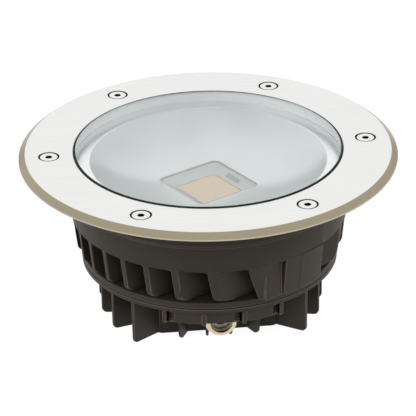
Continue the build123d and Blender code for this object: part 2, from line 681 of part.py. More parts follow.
def base_housing():
    """Die-cast box for the driver with its flange, radial fins that serve as feet, and the apron."""
    walls = block(-BOX_HALF, BOX_HALF, -BOX_HALF, BOX_HALF, 0, BASE_H)
    walls = fillet(walls.edges().filter_by(Axis.Z), BOX_CORNER_R)
    flange = turned([
        (0, BASE_H - BASE_FLANGE_T), (BASE_FLANGE_R - EDGE_CHAMFER, BASE_H - BASE_FLANGE_T),
        (BASE_FLANGE_R, BASE_H - BASE_FLANGE_T + EDGE_CHAMFER), (BASE_FLANGE_R, BASE_H), (0, BASE_H)])
    pitch = 360 / BASE_FIN_COUNT
    housing = walls + flange + [base_fin((i + 0.5) * pitch) for i in range(BASE_FIN_COUNT)] + apron()
    for cutter in apron_pockets():
        housing -= cutter
    pocket = block(-POCKET_HALF, POCKET_HALF, -POCKET_HALF, POCKET_HALF, BOX_FLOOR, BASE_H + EMBED)
    housing -= fillet(pocket.edges().filter_by(Axis.Z), BOX_CORNER_R / 2)
    housing -= in_gland(disc(GLAND_CORNER_R + GLAND_CLEAR, BOX_HALF, NUT_END_U + NUT_TRAVEL + GLAND_CLEAR))
    housing -= in_gland(disc(GLAND_THREAD_R + GLAND_HOLE_GAP, POCKET_HALF - EMBED, BOX_HALF + EMBED))
    for x, y in body_screw_places():
        housing -= disc(BODY_SCREW_R + BODY_HOLE_GAP, BASE_H - BASE_FLANGE_T - EMBED, BASE_H + EMBED, x, y)
    drill = BOX_FLOOR - SMALL_THREAD_L - DRILL_END
    for x, y in driver_ear_screws() + terminal_fix_places():
        housing -= disc(SMALL_SCREW_R + THREAD_GAP, drill, BOX_FLOOR + EMBED, x, y)
    housing -= disc(EARTH_SCREW_R + THREAD_GAP, drill, BOX_FLOOR + EMBED, *EARTH_PLACE)
    housing -= in_sink(disc(PASSAGE_R, BOX_FLOOR + DRIVER_H, BASE_H + EMBED, 0, PASSAGE_N))
    return housing


def driver_case():
    """Tray of the LED driver with corner posts for its board and two fixing ears."""
    z1 = BOX_FLOOR + DRIVER_H - DRIVER_LID_T
    floor = BOX_FLOOR + DRIVER_WALL
    half = DRIVER_HALF_X - DRIVER_WALL
    y0 = DRIVER_Y0 + DRIVER_WALL
    y1 = DRIVER_Y1 - DRIVER_WALL
    case = block(-DRIVER_HALF_X, DRIVER_HALF_X, DRIVER_Y0, DRIVER_Y1, BOX_FLOOR, z1)
    case -= block(-half, half, y0, y1, floor, z1 + EMBED)
    for x in (-half, half - DRIVER_POST):
        for y in (y0, y1 - DRIVER_POST):
            case += block(x, x + DRIVER_POST, y, y + DRIVER_POST, floor - EMBED, floor + DRIVER_POST_H)
    for x, y in driver_ear_screws():
        half = DRIVER_EAR_W / 2
        inward = EMBED if x < 0 else -EMBED
        x0 = min(x - half, x - half + inward)
        x1 = max(x + half, x + half + inward)
        top = BOX_FLOOR + DRIVER_EAR_T
        ear = block(x0, x1, y - DRIVER_EAR_HALF_Y, y + DRIVER_EAR_HALF_Y, BOX_FLOOR, top)
        case += ear - disc(SMALL_SCREW_R + THREAD_GAP, BOX_FLOOR - EMBED, top + EMBED, x, y)
    return case


def driver_lid():
    """Flat lid that closes the driver's tray."""
    z0 = BOX_FLOOR + DRIVER_H - DRIVER_LID_T
    return block(-DRIVER_HALF_X, DRIVER_HALF_X, DRIVER_Y0, DRIVER_Y1, z0, z0 + DRIVER_LID_T)


def driver_board_top():
    return BOX_FLOOR + DRIVER_WALL + DRIVER_POST_H + DRIVER_BOARD_T


def driver_board():
    """Circuit board on the tray's corner posts."""
    inset = DRIVER_WALL + DRIVER_BOARD_GAP
    return block(
        -DRIVER_HALF_X + inset, DRIVER_HALF_X - inset, DRIVER_Y0 + inset, DRIVER_Y1 - inset,
        driver_board_top() - DRIVER_BOARD_T, driver_board_top())


def driver_transformer():
    """Transformer block of the driver."""
    length, width, height = COIL_SIZE
    x = DRIVER_HALF_X - DRIVER_WALL - COIL_SPACE - length / 2
    return Pos(x, DRIVER_Y + COIL_ASIDE, driver_board_top() + height / 2) * Box(length, width, height)


def driver_capacitors():
    """Round capacitors of the driver."""
    low = driver_board_top()
    x = DRIVER_WALL + CAPACITOR_SPACE + CAPACITOR_R - DRIVER_HALF_X
    middle = DRIVER_Y + CAPACITOR_ASIDE
    places = (middle - CAPACITOR_PITCH / 2, middle + CAPACITOR_PITCH / 2)
    return [disc(CAPACITOR_R, low, low + CAPACITOR_H, x, y) for y in places]


def terminal_block():
    """Three-pole connector on the box floor, with wire holes along Y and clamp screws from above."""
    top = BOX_FLOOR + TERMINAL_H
    wire = BOX_FLOOR + TERMINAL_WIRE_Z
    body = block(
        -TERMINAL_HALF_X, TERMINAL_HALF_X, TERMINAL_Y0, TERMINAL_Y0 + TERMINAL_DEPTH, BOX_FLOOR, top)
    for x in TERMINAL_POLES:
        hole = Rot(90, 0, 0) * Cylinder(TERMINAL_WIRE_R, TERMINAL_DEPTH + 2 * EMBED)
        body -= Pos(x, TERMINAL_Y, wire) * hole
        body -= disc(CLAMP_SCREW_R + THREAD_GAP, wire, top + EMBED, x, TERMINAL_Y)
    for x, y in terminal_fix_places():
        body -= disc(SMALL_SCREW_R + THREAD_GAP, BOX_FLOOR - EMBED, top + EMBED, x, y)
        body -= disc(SMALL_HEAD_R + HEAD_GAP, BOX_FLOOR + TERMINAL_STEP, top + EMBED, x, y)
    return body


def clamp_screws():
    """Grub screws that clamp the wires in the connector."""
    high = BOX_FLOOR + TERMINAL_H - CLAMP_SCREW_SUNK
    screws = []
    for x in TERMINAL_POLES:
        screw = disc(CLAMP_SCREW_R, high - CLAMP_SCREW_L, high, x, TERMINAL_Y)
        slot = Box(2 * CLAMP_SCREW_R, CLAMP_SLOT_W, 2 * CLAMP_SLOT_DEPTH)
        screws.append(screw - Pos(x, TERMINAL_Y, high) * slot)
    return screws


def supply_leads():
    """Two short leads between the connector and the driver's tray."""
    lead = Rot(90, 0, 0) * Cylinder(LEAD_R, TERMINAL_SPACE)
    height = BOX_FLOOR + TERMINAL_WIRE_Z + TERMINAL_WIRE_R + LEAD_R
    middle = DRIVER_Y0 - TERMINAL_SPACE / 2
    return [Pos(x, middle, height) * lead for x in (TERMINAL_POLES[0], TERMINAL_POLES[-1])]


def gland_hex(z0, z1):
    """Hexagonal length of the gland with its corners turned off."""
    return hexagon(GLAND_AF, z0, z1) & disc(GLAND_CORNER_R, z0, z1)


def gland_body():
    """Nickel-plated body: thread through the box wall, hexagon, thread for the nut, seat for the seal."""
    body = disc(GLAND_THREAD_R, POCKET_HALF - GLAND_INNER_L, GLAND_U2) + gland_hex(GLAND_U0, GLAND_U1)
    body -= disc(GLAND_BORE_R, POCKET_HALF - GLAND_INNER_L - EMBED, GLAND_U2 + EMBED)
    return body - disc(GLAND_SEAT_R, SEAL_U, GLAND_U2 + EMBED)


def gland_nut():
    """Dome nut: hexagon, rounded dome, a chamber for the slip ring and a wide mouth for the cable."""
    hex_end = NUT_U + NUT_HEX_L
    chamber_end = CLAW_U + CLAW_L + CLAW_GAP
    dome = turned([
        (0, hex_end - EMBED), (GLAND_AF / 2, hex_end - EMBED), (GLAND_AF / 2, hex_end),
        (NUT_END_R, NUT_END_U), (0, NUT_END_U)])
    dome = fillet(dome.edges().filter_by(GeomType.CIRCLE).sort_by(Axis.Z)[-1], NUT_DOME_R)
    nut = gland_hex(NUT_U, hex_end) + dome
    nut -= disc(GLAND_THREAD_R + THREAD_GAP, NUT_U - EMBED, chamber_end)
    nut -= disc(CLAW_R + CLAW_GAP, GLAND_U2 + CLAW_GAP, chamber_end)
    return nut - disc(NUT_MOUTH_R, chamber_end - EMBED, NUT_END_U + EMBED)


os.makedirs("parts", exist_ok=True)

trim_screw = socket_screw(
    TRIM_HEAD_R, TRIM_HEAD_T, TRIM_SCREW_R, Z_TRIM_SEAT - Z_HOUSING_TOP + TRIM_THREAD_L,
    TRIM_SOCKET_AF, TRIM_SOCKET_DEPTH)
small_screw = pan_screw(SMALL_HEAD_R, SMALL_HEAD_T, SMALL_SCREW_R, DRIVER_EAR_T + SMALL_THREAD_L)
fix_screw = pan_screw(SMALL_HEAD_R, SMALL_HEAD_T, SMALL_SCREW_R, TERMINAL_STEP + SMALL_THREAD_L)
earth_screw = pan_screw(EARTH_HEAD_R, EARTH_HEAD_T, EARTH_SCREW_R, EARTH_WASHER_T + SMALL_THREAD_L)

save("trim_ring", trim_ring())
save("trim_screws", *[Pos(x, y, Z_TRIM_SEAT) * trim_screw for x, y in around(TRIM_SCREW_COUNT, TRIM_PLACE)])
save("lens_glass", lens_glass())
save("lens_gasket", lens_gasket())
save("reflector", reflector())
save("led_holder", led_holder())
save("holder_screws", *holder_screws())
save("led_emitter", in_sink(square(EMITTER_SIDE, Z_BOARD_TOP, Z_BOARD_TOP + EMITTER_T)))
save("led_board", in_sink(square(BOARD_SIDE, Z_BOARD, Z_BOARD_TOP)))
save("thermal_pad", in_sink(square(PAD_SIDE, Z_PEDESTAL, Z_BOARD)))
save("upper_housing", upper_housing())
save("lead_grommet", lead_grommet())
save("led_leads", *led_leads())
save("body_gasket", body_gasket())
save("body_screws", *body_screws())
save("base_housing", base_housing())
save("driver_case", driver_case())
save("driver_lid", driver_lid())
save("driver_board", driver_board())
save("driver_transformer", driver_transformer())
save("driver_capacitors", *driver_capacitors())
save("driver_screws", *[Pos(x, y, BOX_FLOOR + DRIVER_EAR_T) * small_screw for x, y in driver_ear_screws()])
save("terminal_block", terminal_block())
save("terminal_screws", *[Pos(x, y, BOX_FLOOR + TERMINAL_STEP) * fix_screw for x, y in terminal_fix_places()])
save("clamp_screws", *clamp_screws())
save("supply_leads", *supply_leads())
earth_washer = ring(EARTH_WASHER_R, EARTH_SCREW_R + THREAD_GAP, 0, EARTH_WASHER_T)
save("earth_washer", Pos(*EARTH_PLACE, BOX_FLOOR) * earth_washer)
save("earth_screw", Pos(*EARTH_PLACE, BOX_FLOOR + EARTH_WASHER_T) * earth_screw)
save("gland_washer", in_gland(ring(GLAND_AF / 2, GLAND_THREAD_R + THREAD_GAP, BOX_HALF, GLAND_U0)))
save("gland_body", in_gland(gland_body()))
locknut = gland_hex(POCKET_HALF - LOCKNUT_T, POCKET_HALF) - disc(GLAND_THREAD_R + THREAD_GAP, 0, BOX_HALF)
save("gland_locknut", in_gland(locknut))
save("gland_seal", in_gland(ring(GLAND_SEAT_R - SEAL_GAP, SEAL_BORE_R, SEAL_U, SEAL_U + SEAL_L)))
save("gland_claw", in_gland(ring(CLAW_R, CLAW_BORE_R, CLAW_U, CLAW_U + CLAW_L)))
save("gland_nut", in_gland(gland_nut()))
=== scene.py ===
from math import cos, hypot, radians, sin

import bmesh
import bpy
from mathutils import Color, Matrix, Vector


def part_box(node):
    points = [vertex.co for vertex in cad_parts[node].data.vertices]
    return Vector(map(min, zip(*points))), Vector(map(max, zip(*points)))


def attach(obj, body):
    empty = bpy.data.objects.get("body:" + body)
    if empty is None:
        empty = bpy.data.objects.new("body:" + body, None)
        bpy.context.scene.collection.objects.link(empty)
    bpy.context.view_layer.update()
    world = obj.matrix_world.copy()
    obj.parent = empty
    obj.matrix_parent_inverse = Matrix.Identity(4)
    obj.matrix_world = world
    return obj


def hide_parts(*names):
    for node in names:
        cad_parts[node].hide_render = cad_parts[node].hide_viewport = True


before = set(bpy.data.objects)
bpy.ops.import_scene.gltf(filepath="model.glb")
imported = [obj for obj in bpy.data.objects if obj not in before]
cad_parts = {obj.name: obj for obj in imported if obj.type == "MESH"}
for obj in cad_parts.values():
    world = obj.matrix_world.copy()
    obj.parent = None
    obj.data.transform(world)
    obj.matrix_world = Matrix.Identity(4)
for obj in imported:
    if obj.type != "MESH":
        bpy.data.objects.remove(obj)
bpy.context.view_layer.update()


# Base housing: a die-cast aluminium box with a flange, an apron and radial fins that serve as feet.
# It is shot blasted and powder coated in warm charcoal, so its edges are soft; they are painted a little
# paler, partly as wear and partly as a painted highlight.
# Both castings have this coat, which keeps a fine orange peel from the powder.
WELD = 0.000002
FLAT = radians(0.8)
SHARP = radians(50)
EDGE_SEGMENTS = 2
BASE_EDGE = 0.0005
COAT_DARK = (41, 36, 30)
COAT_PALE = (53, 47, 40)
COAT_WORN_AND_HIGHLIT = (88, 80, 69)
COAT_WEAR_AND_HIGHLIGHT = 0.75
COAT_CLOUDS = 30
COAT_ROUGHNESS = 0.42
COAT_UNEVENNESS = 0.16
COAT_SPECULAR = 0.2
PEEL_GRAIN = 1400
PEEL_DEPTH = 0.00012


def tone(colour):
    """A colour written as display values from 0 to 255, in the linear values that shaders take."""
    return [*Color([part / 255 for part in colour]).from_srgb_to_scene_linear(), 1]


class Socket:
    """An output of a node. Arithmetic on it adds Math nodes, and node() adds any other node to its tree."""

    # The Mix node's colour sockets go by number, because its other sockets have the same names.
    FACTOR, FIRST, SECOND, RESULT = 0, 6, 7, 2

    def __init__(self, output):
        self.output = output
        self.tree = output.id_data

    def node(self, kind, settings=None, inputs=None, output=0):
        """Adds a node with these settings and these values or links for its inputs, and gives an output."""
        made = self.tree.nodes.new(kind)
        for name, value in (settings or {}).items():
            setattr(made, name, value)
        for name, value in (inputs or {}).items():
            if isinstance(value, Socket):
                self.tree.links.new(value.output, made.inputs[name])
            else:
                made.inputs[name].default_value = value
        return Socket(made.outputs[output])

    def math(self, operation, *values):
        """This value, worked on by a Math node with these other values."""
        return self.node("ShaderNodeMath", {"operation": operation}, dict(enumerate((self, *values))))

    def __add__(self, other):
        return self.math("ADD", other)

    def __sub__(self, other):
        return self.math("SUBTRACT", other)

    def __rsub__(self, other):
        return self.node("ShaderNodeMath", {"operation": "SUBTRACT"}, {0: other, 1: self})

    def __mul__(self, other):
        return self.math("MULTIPLY", other)

    def __gt__(self, other):
        return self.math("GREATER_THAN", other)

    __radd__ = __add__
    __rmul__ = __mul__

    def mix(self, first, second):
        """The first colour where this value is 0, the second where it is 1."""
        inputs = {self.FACTOR: self, self.FIRST: first, self.SECOND: second}
        return self.node("ShaderNodeMix", {"data_type": "RGBA"}, inputs, self.RESULT)

    def noise(self, scale, detail=2):
        """Cloudy values round 0.5 over these coordinates, with this many clouds to a metre."""
        return self.node("ShaderNodeTexNoise", None, {"Vector": self, "Scale": scale, "Detail": detail})

    def attribute(self, name):
        """A value that each face of the mesh holds."""
        return self.node("ShaderNodeAttribute", {"attribute_name": name}, output="Fac")

    def stretched(self, scale):
        """These coordinates, multiplied along each axis."""
        return self.node("ShaderNodeVectorMath", {"operation": "MULTIPLY"}, {0: self, 1: scale})

    def part(self, axis):
        """One of these coordinates."""
        return self.node("ShaderNodeSeparateXYZ", None, {0: self}, axis)

    def radius(self):
        """The distance of these coordinates from the light's axis."""
        level = self.stretched((1, 1, 0))
        return self.node("ShaderNodeVectorMath", {"operation": "LENGTH"}, {0: level}, "Value")

    def relief(self, depth):
        """A normal that raises this value by up to a depth in metres."""
        return self.node("ShaderNodeBump", None, {"Distance": depth, "Height": self})


def coordinates(name):
    """Starts a material and gives its Object coordinates."""
    material = bpy.data.materials.new(name)
    material.use_nodes = True
    material.node_tree.nodes.clear()
    return Socket(material.node_tree.nodes.new("ShaderNodeTexCoord").outputs["Object"])


def shown(shader):
    """Ends a material with the shader that its surface shows."""
    end = shader.tree.nodes.new("ShaderNodeOutputMaterial")
    shader.tree.links.new(shader.output, end.inputs["Surface"])
    return next(material for material in bpy.data.materials if material.node_tree == shader.tree)


def surface(place, **inputs):
    """Ends a material with a Principled surface, its sockets named with underscores for spaces."""
    sockets = {name.replace("_", " "): value for name, value in inputs.items()}
    return shown(place.node("ShaderNodeBsdfPrincipled", None, sockets))


def welded_copy(node):
    """A copy of a CAD piece with its corners merged and its flats joined."""
    shape = bmesh.new()
    shape.from_mesh(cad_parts[node].data)
    bmesh.ops.remove_doubles(shape, verts=shape.verts, dist=WELD)
    bmesh.ops.dissolve_limit(shape, angle_limit=FLAT, verts=shape.verts, edges=shape.edges)
    return shape


def finished(shape, name, sharp=SHARP):
    """Makes a bmesh the mesh of a new object, smooth but for its sharp edges."""
    mesh = bpy.data.meshes.new(name + "_skin")
    shape.to_mesh(mesh)
    shape.free()
    mesh.shade_smooth()
    mesh.set_sharp_from_angle(angle=sharp)
    piece = bpy.data.objects.new(name + "_skin", mesh)
    bpy.context.scene.collection.objects.link(piece)
    flats = piece.modifiers.new("even flats", "WEIGHTED_NORMAL")
    flats.keep_sharp = True
    return piece


def rounded_copy(node, width, sharp=SHARP):
    """A copy of a CAD piece with its sharp edges rounded. The faces of the rounding are marked as edge."""
    shape = welded_copy(node)
    edge = shape.faces.layers.float.new("edge")
    corners = [line for line in shape.edges if line.is_manifold and line.calc_face_angle() > sharp]
    rounding = bmesh.ops.bevel(
        shape, geom=corners, offset=width, offset_type="OFFSET", affect="EDGES", segments=EDGE_SEGMENTS,
        profile=0.5, material=-1)
    for face in rounding["faces"]:
        face[edge] = 1
    return finished(shape, node, sharp)


def fitted(piece, finish, node, body="light"):
    """Gives a piece its finish and sets it in the place of its CAD node."""
    piece.data.materials.append(finish)
    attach(piece, body)
    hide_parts(node)


def dressed(node, width, finish, body="light"):
    """Sets a copy of a CAD piece, with rounded edges and a finish, in the place of the piece."""
    fitted(rounded_copy(node, width), finish, node, body)


place = coordinates("charcoal powder coat")
clouds = place.noise(COAT_CLOUDS, detail=3)
coat = clouds.mix(tone(COAT_DARK), tone(COAT_PALE))
# The rounded edges are painted paler: partly wear, partly a painted highlight.
coat = (place.attribute("edge") * COAT_WEAR_AND_HIGHLIGHT).mix(coat, tone(COAT_WORN_AND_HIGHLIT))
charcoal = surface(
    place, Base_Color=coat, Roughness=COAT_ROUGHNESS + clouds * COAT_UNEVENNESS,
    Normal=place.noise(PEEL_GRAIN).relief(PEEL_DEPTH), Specular_IOR_Level=COAT_SPECULAR)

dressed("base_housing", BASE_EDGE, charcoal)


# Cable gland: nickel-plated brass turned from hexagon bar, screwed through the front of the box.
# Its body is held by a locknut inside and sealed by a flat washer; the plating has a warm cast.
# The dome nut squeezes a rubber seal round the cable through a loose steel slip ring.
GLAND_EDGE = 0.0004
LIP_EDGE = 0.0008
SLIP_EDGE = 0.0003
FINE_EDGE = 0.0002
NICKEL_DULL = (194, 177, 146)
NICKEL_BRIGHT = (224, 210, 182)
NICKEL_LINES = (60, 2600, 60)
RUBBER_DARK = (26, 26, 26)
RUBBER_PALE = (38, 38, 37)
SLIP_DULL = (150, 150, 147)
SLIP_BRIGHT = (184, 184, 181)
SLIP_LINES = (1400, 60, 1400)


def varied(place, pattern, dark, pale, roughness, unevenness=None, depth=None, **inputs):
    """A finish whose colour follows a pattern, and its gloss and relief too where these are given."""
    if unevenness:
        roughness = roughness + pattern * unevenness
    if depth:
        inputs["Normal"] = pattern.relief(depth)
    return surface(place, Base_Color=pattern.mix(tone(dark), tone(pale)), Roughness=roughness, **inputs)


def turned(name, dull, bright, lines, **gloss):
    """Turned metal, with this many tool lines to a metre along each axis."""
    place = coordinates(name)
    return varied(place, place.stretched(lines).noise(1), dull, bright, Metallic=1.0, **gloss)


def grained(name, dark, pale, grain, detail=2, **gloss):
    """A plain material with this many grains to a metre."""
    place = coordinates(name)
    return varied(place, place.noise(grain, detail), dark, pale, **gloss)


nickel = turned(
    "plated nickel", NICKEL_DULL, NICKEL_BRIGHT, NICKEL_LINES, roughness=0.1, unevenness=0.1, depth=0.00003)
rubber = grained(
    "black rubber", RUBBER_DARK, RUBBER_PALE, grain=900, detail=3, roughness=0.55, unevenness=0.2,
    depth=0.00008)
slip_steel = turned("turned steel", SLIP_DULL, SLIP_BRIGHT, SLIP_LINES, roughness=0.3, unevenness=0.15)

dressed("gland_washer", FINE_EDGE, rubber)
dressed("gland_body", GLAND_EDGE, nickel)
dressed("gland_locknut", GLAND_EDGE, nickel)
dressed("gland_seal", SLIP_EDGE, rubber)
dressed("gland_claw", SLIP_EDGE, slip_steel, "gland_slip_ring")
dressed("gland_nut", LIP_EDGE, nickel, "gland_dome_nut")


# Earth point: a brass washer and slotted screw in a corner of the box, tapped into the casting.
# Both are plain turned brass.
EARTH_WASHER_EDGE = 0.00015
EARTH_SCREW_EDGE = 0.00025
BRASS_DULL = (172, 136, 74)
BRASS_BRIGHT = (196, 160, 92)
BRASS_LINES = (1500, 1500, 80)

brass = turned("plain brass", BRASS_DULL, BRASS_BRIGHT, BRASS_LINES, roughness=0.25, unevenness=0.15)

dressed("earth_washer", EARTH_WASHER_EDGE, brass)
dressed("earth_screw", EARTH_SCREW_EDGE, brass)


# Supply connector: a white three-pole terminal block, screwed to the floor of the box behind the gland.
# Steel grub screws clamp the wires, and two insulated leads go on to the driver.
MOULDED_EDGE = 0.0004
HAIR_EDGE = 0.0001
TERMINAL_WHITE = (226, 226, 220)
PLASTIC_SHADE = 0.92
PLASTIC_CLOUDS = 60
SPARK_GRAIN = 1800
SPARK_UNEVENNESS = 0.1
SPARK_DEPTH = 0.00005
STEEL_DULL = (205, 204, 201)
STEEL_BRIGHT = (222, 221, 218)
STEEL_LINES = (900, 900, 120)
WIRE_DARK = (86, 26, 22)
WIRE_PALE = (112, 34, 28)


def moulded(name, colour, roughness):
    """Plain moulded plastic: a fine spark-eroded texture and slight clouds in the colour."""
    place = coordinates(name)
    grain = place.noise(SPARK_GRAIN)
    shade = [part * PLASTIC_SHADE for part in colour]
    return surface(
        place, Base_Color=place.noise(PLASTIC_CLOUDS).mix(tone(shade), tone(colour)),
        Roughness=roughness + grain * SPARK_UNEVENNESS, Normal=grain.relief(SPARK_DEPTH))


white_polyamide = moulded("white polyamide", TERMINAL_WHITE, roughness=0.4)
screw_steel = turned(
    "stainless screw steel", STEEL_DULL, STEEL_BRIGHT, STEEL_LINES, roughness=0.2, unevenness=0.12)
insulation = grained("wire insulation", WIRE_DARK, WIRE_PALE, grain=300, roughness=0.35, unevenness=0.15)

dressed("terminal_block", MOULDED_EDGE, white_polyamide)
dressed("terminal_screws", FINE_EDGE, screw_steel)
dressed("clamp_screws", HAIR_EDGE, screw_steel)
dressed("supply_leads", HAIR_EDGE, insulation)


# Driver: an off-white plastic tray with a lid, held by two screws through its ears.
# On its green board stand a taped transformer and two capacitors in dark sleeves.
TAPE_EDGE = 0.0008
SLEEVE_EDGE = 0.0006
CASE_WHITE = (216, 215, 208)
BOARD_GREEN = (34, 92, 58)
TRACK_GREEN = (52, 112, 74)
TRACK_GRAIN = 260
TRACKS_FROM = 0.56
BOARD_ROUGHNESS = 0.3
BOARD_UNEVENNESS = 0.1
TAPE_DARK = (176, 150, 58)
TAPE_PALE = (206, 182, 76)
TAPE_WRAPS = 110
TAPE_WANDER = 0.4
SLEEVE_BLUE = (38, 42, 62)

case_plastic = moulded("off-white driver plastic", CASE_WHITE, roughness=0.45)
sleeve_plastic = moulded("capacitor sleeve", SLEEVE_BLUE, roughness=0.3)

place = coordinates("green circuit board")
copper = place.noise(TRACK_GRAIN, detail=3)
circuit_board = surface(
    place, Base_Color=(copper > TRACKS_FROM).mix(tone(BOARD_GREEN), tone(TRACK_GREEN)),
    Roughness=BOARD_ROUGHNESS + copper * BOARD_UNEVENNESS)

place = coordinates("transformer tape")
windings = {"Vector": place, "Scale": TAPE_WRAPS, "Distortion": TAPE_WANDER}
wraps = place.node("ShaderNodeTexWave", {"bands_direction": "Z"}, windings)
tape = varied(place, wraps, TAPE_DARK, TAPE_PALE, roughness=0.4, depth=0.0001)

dressed("driver_case", MOULDED_EDGE, case_plastic)
dressed("driver_lid", MOULDED_EDGE, case_plastic)
dressed("driver_board", FINE_EDGE, circuit_board)
dressed("driver_transformer", TAPE_EDGE, tape)
dressed("driver_capacitors", SLEEVE_EDGE, sleeve_plastic)
dressed("driver_screws", FINE_EDGE, screw_steel)


# Upper housing: the second die casting, with the glass seat, the collar, the row of parallel cooling
# plates and the flange that closes the base. A flat rubber seal lies between the two flanges, and six
# cap screws pull them together from below.
HOUSING_EDGE = 0.0006
CAP_EDGE = 0.0003

dressed("body_gasket", HAIR_EDGE, rubber)
dressed("upper_housing", HOUSING_EDGE, charcoal)
dressed("body_screws", CAP_EDGE, screw_steel)


# Wire passage: two insulated leads run from the LED down to the driver, through a rubber grommet
# that sits in the wall between the two chambers.
dressed("lead_grommet", FINE_EDGE, rubber)
dressed("led_leads", HAIR_EDGE, insulation)


# LED: a square array under cream phosphor on a white board, bedded on a soft grey thermal pad.
# A pale grey moulded frame, held by two screws, clamps it, and its funnel leads up to the reflector.
# The floor of the slot in one wall of the funnel is painted a little darker, as painted shade.
HOLDER_EDGE = 0.0003
SLOT_TURN = radians(30)
SLOT_RADIUS = 0.02185
SLOT_DROP = 0.0026
HOLDER_SHADE = (180, 184, 183)
HOLDER_GREY = (190, 194, 193)
HOLDER_ROUGHNESS = 0.4
SLOT_PAINTED_SHADE = (160, 163, 163)
MASK_DARK = (222, 224, 222)
MASK_PALE = (236, 237, 235)
PAD_DARK = (128, 134, 142)
PAD_PALE = (152, 158, 164)
PHOSPHOR_DARK = (206, 193, 170)
PHOSPHOR_PALE = (213, 201, 180)

solder_mask = grained("white solder mask", MASK_DARK, MASK_PALE, grain=200, roughness=0.35)
thermal_pad = grained("thermal pad", PAD_DARK, PAD_PALE, grain=700, detail=3, roughness=0.7, depth=0.0001)
phosphor = grained(
    "cream phosphor", PHOSPHOR_DARK, PHOSPHOR_PALE, grain=500, detail=3, roughness=0.45, unevenness=0.1,
    depth=0.00006)

place = coordinates("pale grey holder")
grain = place.noise(SPARK_GRAIN)
funnel = place.noise(PLASTIC_CLOUDS).mix(tone(HOLDER_SHADE), tone(HOLDER_GREY))
holder_plastic = surface(
    # The slot's floor face is painted darker: painted shade in the recess.
    place, Base_Color=place.attribute("slot").mix(funnel, tone(SLOT_PAINTED_SHADE)),
    Roughness=HOLDER_ROUGHNESS + grain * SPARK_UNEVENNESS, Normal=grain.relief(SPARK_DEPTH))

holder = rounded_copy("led_holder", HOLDER_EDGE)
mark = holder.data.attributes.new("slot", "FLOAT", "FACE")
slot_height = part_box("led_holder")[1].z - SLOT_DROP
slot_place = Vector((SLOT_RADIUS * cos(SLOT_TURN), SLOT_RADIUS * sin(SLOT_TURN), slot_height))
slot_floor = min(holder.data.polygons, key=lambda face: (face.center - slot_place).length)
mark.data[slot_floor.index].value = 1

dressed("thermal_pad", HAIR_EDGE, thermal_pad)
dressed("led_board", FINE_EDGE, solder_mask)
dressed("led_emitter", FINE_EDGE, phosphor)
fitted(holder, holder_plastic, "led_holder")
dressed("holder_screws", FINE_EDGE, screw_steel)


# Reflector: a pressed aluminium bowl, satin anodised. It is round at its flat rim, which is painted a
# little brighter as a painted highlight, and runs down to the square opening over the LED.
BOWL_EDGE = 0.0006
BOWL_CREASE = radians(14)
RIM_WIDTH = 0.0141
RIM_PAINTED_HIGHLIGHT = (250, 253, 253)
SATIN_DARK = (221, 226, 226)
SATIN_PALE = (226, 231, 231)
SATIN_CLOUDS = 60
SATIN_ROUGHNESS = 0.28
SATIN_UNEVENNESS = 0.04

place = coordinates("satin anodised aluminium")
clouds = place.noise(SATIN_CLOUDS)
bowl = clouds.mix(tone(SATIN_DARK), tone(SATIN_PALE))
# The flat rim is painted brighter: a painted highlight.
on_rim = place.radius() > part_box("reflector")[1].x - RIM_WIDTH
satin = surface(
    place, Base_Color=on_rim.mix(bowl, tone(RIM_PAINTED_HIGHLIGHT)), Metallic=1.0,
    Roughness=SATIN_ROUGHNESS + clouds * SATIN_UNEVENNESS)

fitted(rounded_copy("reflector", BOWL_EDGE, BOWL_CREASE), satin, "reflector")


# Glass and its gasket: a pane of tempered glass, a little proud of the ring, with a thin flange that
# sits in a channel of light grey silicone. The faces are clear, the side of the pane is ground and
# looks white, and its chamfer and a thin strip of the face inside it are painted dark green as painted
# shade along the edge.
FLANGE_WIDTH = 0.0058
FLANGE_THICKNESS = 0.0016
CHAMFER = 0.0009
CHAMFER_SEEN = 0.0007
SHELL_GAP = 0.00002
PANE_STEPS = 192
GLASS_CREASE = radians(20)
GLASS_ROUGHNESS = 0.03
STRAIGHT_BOUNCE = 0.02
GRAZING_BOUNCE = 0.25
BOUNCE_RISE = 5
GROUND_DARK = (203, 208, 208)
GROUND_PALE = (211, 216, 216)
GREEN_DARK = (18, 29, 20)
GREEN_PALE = (26, 38, 28)
GROUND_FINISH, GREEN_FINISH = 1, 2
SILICONE_DARK = (214, 217, 218)
SILICONE_PALE = (224, 227, 227)

silicone = grained(
    "light grey silicone", SILICONE_DARK, SILICONE_PALE, grain=600, roughness=0.5, unevenness=0.1)
ground_glass = grained(
    "ground side of the glass", GROUND_DARK, GROUND_PALE, grain=900, roughness=0.5, unevenness=0.1)
green_glass_painted_shade = grained(
    "green chamfer of the glass", GREEN_DARK, GREEN_PALE, grain=900, roughness=0.5, unevenness=0.1,
    Specular_IOR_Level=0.15)

place = coordinates("clear glass")
through = place.node("ShaderNodeBsdfTransparent")
shine = place.node("ShaderNodeBsdfAnisotropic", None, {"Roughness": GLASS_ROUGHNESS})
grazing = place.node("ShaderNodeLayerWeight", output="Facing")
bounce = STRAIGHT_BOUNCE + GRAZING_BOUNCE * grazing.math("POWER", BOUNCE_RISE)
clear_glass = shown(place.node("ShaderNodeMixShader", None, {0: bounce, 1: through, 2: shine}))


def spun(shape, outline):
    """Adds a closed shell to a bmesh: an outline of radius and height, turned once about Z."""
    corners = [shape.verts.new((radius, 0, height)) for radius, height in outline]
    lines = [shape.edges.new(ends) for ends in zip(corners, corners[1:])]
    bmesh.ops.spin(
        shape, geom=corners + lines, cent=(0, 0, 0), axis=(0, 0, 1), angle=radians(360), steps=PANE_STEPS,
        use_merge=True)
    bmesh.ops.remove_doubles(shape, verts=shape.verts, dist=WELD)
    bmesh.ops.recalc_face_normals(shape, faces=shape.faces)


glass_low, glass_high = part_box("lens_glass")
flange_radius = glass_high.x
flange_top = glass_low.z + FLANGE_THICKNESS
pane_radius = flange_radius - FLANGE_WIDTH
face_radius = pane_radius - CHAMFER
green_radius = face_radius - CHAMFER_SEEN
side_top = glass_high.z - CHAMFER

